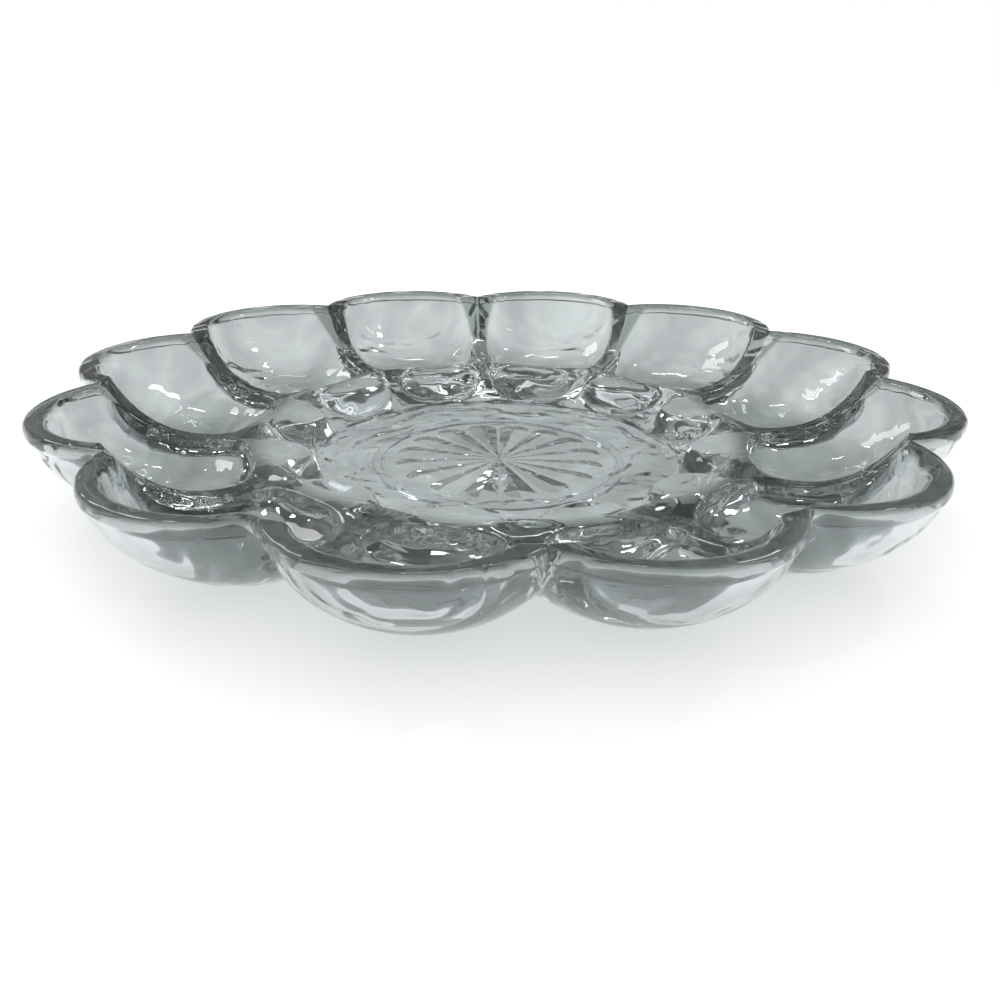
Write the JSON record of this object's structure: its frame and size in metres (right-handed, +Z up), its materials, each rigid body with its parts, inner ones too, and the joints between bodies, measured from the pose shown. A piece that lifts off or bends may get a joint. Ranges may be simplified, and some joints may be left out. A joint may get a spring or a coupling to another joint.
{
  "type": "deviled egg platter",
  "caption": "Round scalloped plate of clear pressed glass, with egg-shaped wells in a ring round a flat centre dish that has a star pressed into its underside.",
  "frame": {"origin": "on the resting plane, under the middle of the plate", "axes": "+Z up along the plate's axis; +X through the middle of the first egg well"},
  "size_m": [0.28, 0.28, 0.031],
  "materials": {
    "clear_glass": "fire-polished clear glass with a faint grey-green tint"
  },
  "bodies": {
    "root": {"egg_well_01": "clear_glass", "egg_well_02": "clear_glass", "egg_well_03": "clear_glass", "egg_well_04": "clear_glass", "egg_well_05": "clear_glass", "egg_well_06": "clear_glass", "egg_well_07": "clear_glass", "egg_well_08": "clear_glass", "egg_well_09": "clear_glass", "egg_well_10": "clear_glass", "egg_well_11": "clear_glass", "egg_well_12": "clear_glass", "centre_dish": "clear_glass", "star_medallion": "clear_glass", "foot_ring": "clear_glass"}
  },
  "joints": []
}
